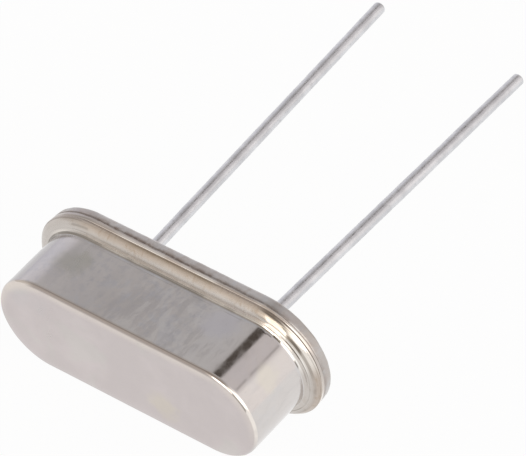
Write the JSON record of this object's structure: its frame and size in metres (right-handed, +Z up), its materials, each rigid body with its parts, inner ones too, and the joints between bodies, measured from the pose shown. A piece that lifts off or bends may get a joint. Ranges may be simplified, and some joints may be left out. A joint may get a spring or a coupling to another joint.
{
  "type": "quartz crystal oscillator component",
  "caption": "Low oblong metal can welded to a flanged base, with wire leads through glass seals and a quartz strip on spring clips inside, lying on its broad side.",
  "frame": {"origin": "middle of the part's footprint, on the surface that it lies on", "axes": "+Z up from that surface, +Y the way the leads point (they rise by about 10 degrees), +X along the can's length, so the can's top faces -Y and slightly down"},
  "size_m": [0.0112, 0.0176, 0.0051],
  "materials": {
    "can_metal": "satin drawn nickel silver, faintly tarnished",
    "base_metal": "satin nickel-plated steel",
    "seal_glass": "dark fused sealing glass",
    "lead_metal": "tinned wire, slightly uneven",
    "clip_metal": "thin spring strip",
    "quartz": "lapped quartz",
    "silver_film": "evaporated silver",
    "conductive_adhesive": "silver-filled epoxy"
  },
  "bodies": {
    "root": {"can": "can_metal", "base": "base_metal", "glass_seal_left": "seal_glass", "glass_seal_right": "seal_glass", "lead_left": "lead_metal", "lead_right": "lead_metal", "clip_left": "clip_metal", "clip_right": "clip_metal", "quartz_strip": "quartz", "electrode_can_side": "silver_film", "electrode_base_side": "silver_film", "adhesive_left": "conductive_adhesive", "adhesive_right": "conductive_adhesive"}
  },
  "joints": []
}
